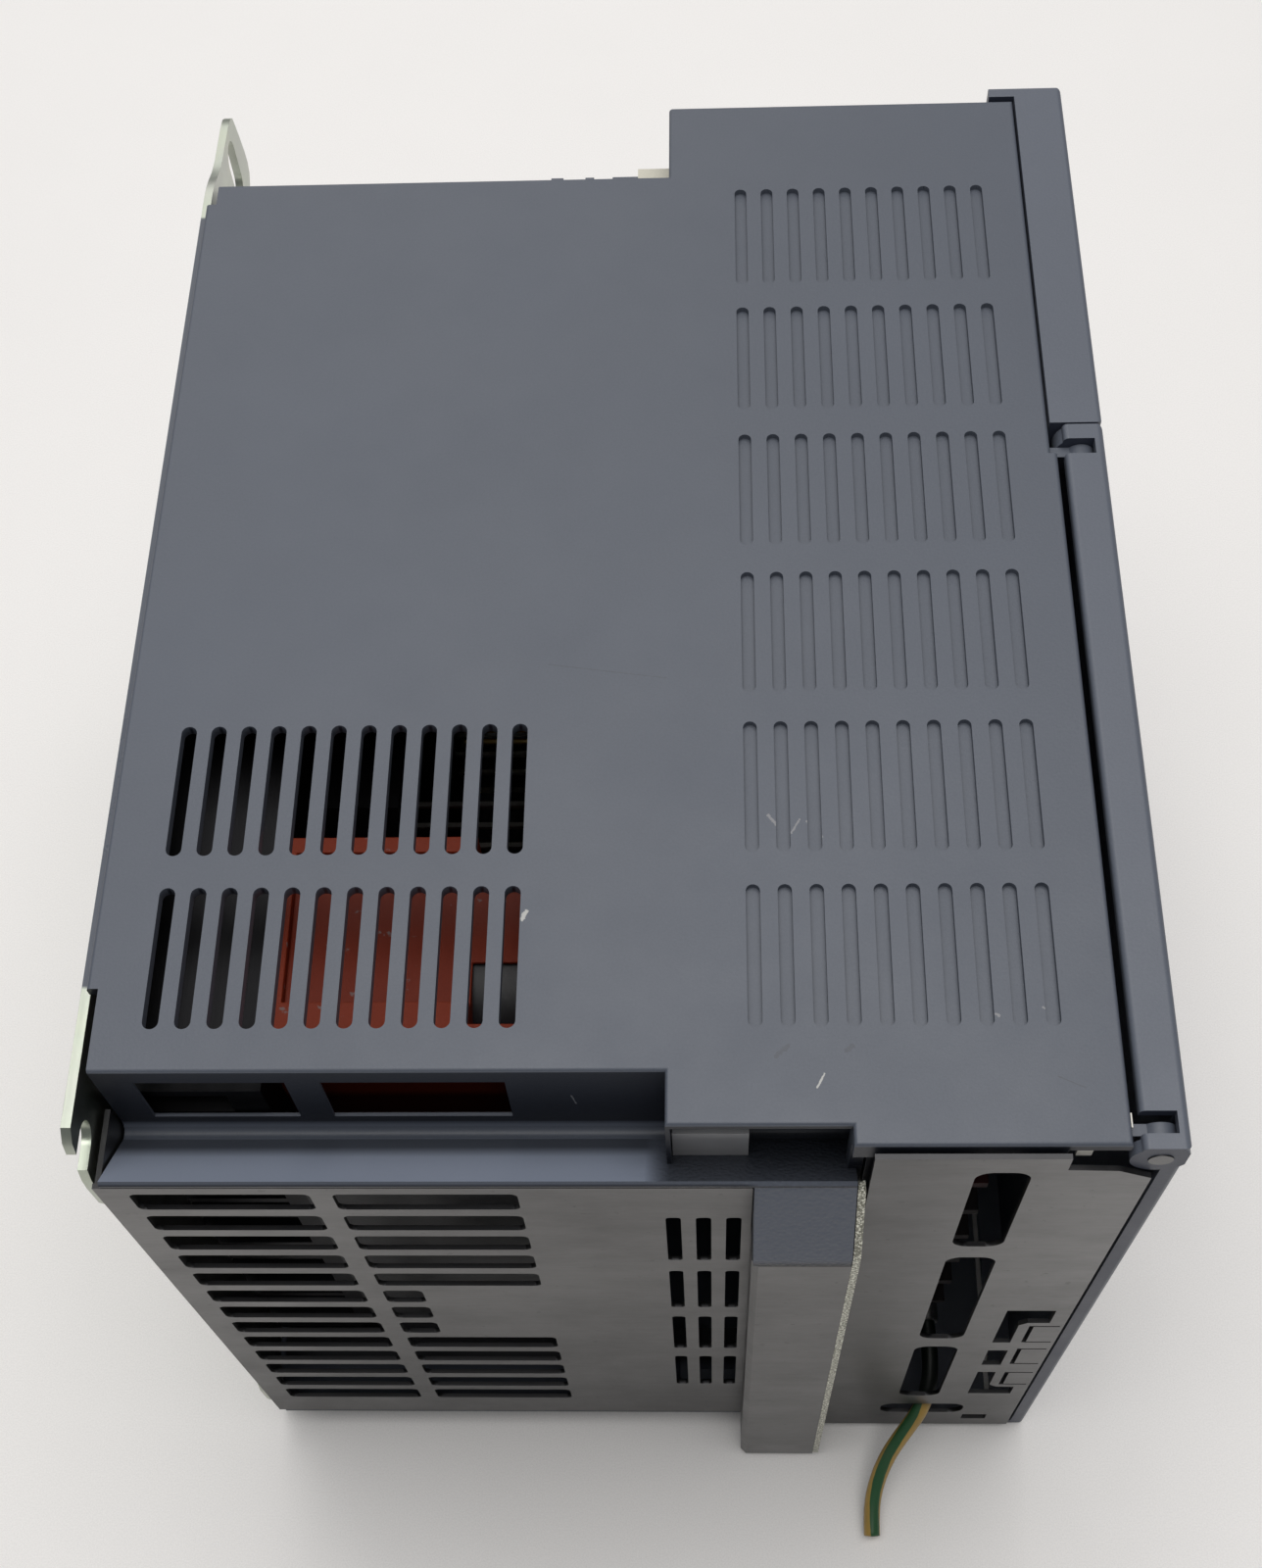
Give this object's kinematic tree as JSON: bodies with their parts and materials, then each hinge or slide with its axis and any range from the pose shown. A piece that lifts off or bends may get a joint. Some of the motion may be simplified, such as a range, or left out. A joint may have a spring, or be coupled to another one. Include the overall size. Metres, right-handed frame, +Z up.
{
  "type": "variable frequency drive",
  "caption": "Box-shaped variable frequency drive lying on its side, with slotted housing, steel cable-entry and air-inlet end plates, hinged terminal door and mounting flange.",
  "frame": {"origin": "centre of the footprint the drive rests on when it lies on its right side", "axes": "+X towards the drive's front (door and operator panel), +Y towards its top end (fans), +Z upward, which is the drive's left side"},
  "size_m": [0.1752, 0.2596, 0.18],
  "materials": {
    "casing_plastic": "fine moulded texture",
    "cover_plastic": "fine moulded texture",
    "sheet_steel": "cold-rolled, dull",
    "zinc_sheet": "yellow-passivated zinc",
    "heat_sink_metal": "extruded",
    "orange_plastic": "moulded",
    "terminal_plastic": "moulded",
    "black_plastic": "moulded",
    "board": "solder mask",
    "key_plastic": "moulded",
    "stop_plastic": "moulded",
    "run_plastic": "moulded",
    "window": "smoked, clear",
    "display": "smooth",
    "plated_steel": "bright zinc",
    "tin": "tinned",
    "sleeve": "shrink sleeving",
    "wire": "PVC, green and yellow",
    "lamp": "translucent",
    "pale_plastic": "moulded",
    "brass": "turned",
    "steel_pin": "ground",
    "connector_plastic": "moulded"
  },
  "bodies": {
    "drive": {"left_casing": "casing_plastic", "right_casing": "casing_plastic", "base_plate": "zinc_sheet", "air_inlet_plate": "sheet_steel", "cable_entry_plate": "sheet_steel", "partition_plate": "zinc_sheet", "chassis_bracket": "plated_steel", "upper_cover": "cover_plastic", "cover_screws": "plated_steel", "display_window": "window", "display_module": "display", "key_board": "board", "key_switches": "black_plastic", "dial_encoder": "plated_steel", "charge_lamp": "lamp", "hinge_brackets": "casing_plastic", "hinge_pins": "steel_pin", "door_catch": "casing_plastic", "terminal_deck": "casing_plastic", "power_terminal_block": "terminal_plastic", "power_terminal_screws": "plated_steel", "terminal_straps": "tin", "control_terminal_block": "connector_plastic", "control_terminal_screws": "plated_steel", "comms_socket": "black_plastic", "logic_switch_body": "black_plastic", "earth_terminal": "plated_steel", "earth_lug": "tin", "earth_screw": "plated_steel", "ground_wire": "wire", "heat_sink": "heat_sink_metal", "capacitor_holder": "orange_plastic", "smoothing_capacitors": "black_plastic", "power_board": "board", "control_board": "board", "board_pillars": "brass", "board_spacers": "brass", "power_module": "black_plastic", "rectifier_module": "black_plastic", "module_pins": "tin", "main_relay": "black_plastic", "control_transformer": "black_plastic", "board_connector": "connector_plastic", "fan_frame_left": "black_plastic", "fan_frame_right": "black_plastic", "fan_cover": "casing_plastic", "fan_plug": "connector_plastic", "edge_clips": "pale_plastic"},
    "door": {"door": "cover_plastic"},
    "lock": {"door_lock": "black_plastic"},
    "dial": {"frequency_dial": "black_plastic"},
    "left_fan": {"fan_impeller_left": "black_plastic"},
    "right_fan": {"fan_impeller_right": "black_plastic"},
    "logic_slider": {"logic_switch_slider": "pale_plastic"},
    "up_button": {"up_key": "key_plastic"},
    "run_button": {"run_key": "run_plastic"},
    "mode_button": {"mode_key": "key_plastic"},
    "stop_button": {"stop_key": "stop_plastic"},
    "down_button": {"down_key": "key_plastic"},
    "enter_button": {"enter_key": "key_plastic"}
  },
  "joints": [
    {"name": "door_hinge", "type": "hinge", "parent": "drive", "child": "door", "pos_m": [0.08, -0.044, 0.1756], "axis": [0, -1, 0], "range_deg": [0, 90]},
    {"name": "door_lock_turn", "type": "hinge", "parent": "door", "child": "lock", "pos_m": [0.083, -0.04, 0.012], "axis": [-1, 0, 0], "range_deg": [0, 90]},
    {"name": "dial_turn", "type": "hinge", "parent": "drive", "child": "dial", "pos_m": [0.085, 0.056, 0.09], "axis": [1, 0, 0], "range_deg": [-150, 150]},
    {"name": "left_fan_spin", "type": "hinge", "parent": "drive", "child": "left_fan", "pos_m": [-0.052, 0.078, 0.13], "axis": [0, 1, 0], "continuous": true},
    {"name": "right_fan_spin", "type": "hinge", "parent": "drive", "child": "right_fan", "pos_m": [-0.052, 0.078, 0.05], "axis": [0, 1, 0], "continuous": true},
    {"name": "logic_switch_slide", "type": "slide", "parent": "drive", "child": "logic_slider", "axis": [0, 0, 1], "range_m": [0, 0.004]},
    {"name": "up_press", "type": "slide", "parent": "drive", "child": "up_button", "axis": [-1, 0, 0], "range_m": [0, 0.0008], "stiffness_N_per_m": 900},
    {"name": "run_press", "type": "slide", "parent": "drive", "child": "run_button", "axis": [-1, 0, 0], "range_m": [0, 0.0008], "stiffness_N_per_m": 900},
    {"name": "mode_press", "type": "slide", "parent": "drive", "child": "mode_button", "axis": [-1, 0, 0], "range_m": [0, 0.0008], "stiffness_N_per_m": 900},
    {"name": "stop_press", "type": "slide", "parent": "drive", "child": "stop_button", "axis": [-1, 0, 0], "range_m": [0, 0.0008], "stiffness_N_per_m": 900},
    {"name": "down_press", "type": "slide", "parent": "drive", "child": "down_button", "axis": [-1, 0, 0], "range_m": [0, 0.0008], "stiffness_N_per_m": 900},
    {"name": "enter_press", "type": "slide", "parent": "drive", "child": "enter_button", "axis": [-1, 0, 0], "range_m": [0, 0.0008], "stiffness_N_per_m": 900}
  ]
}
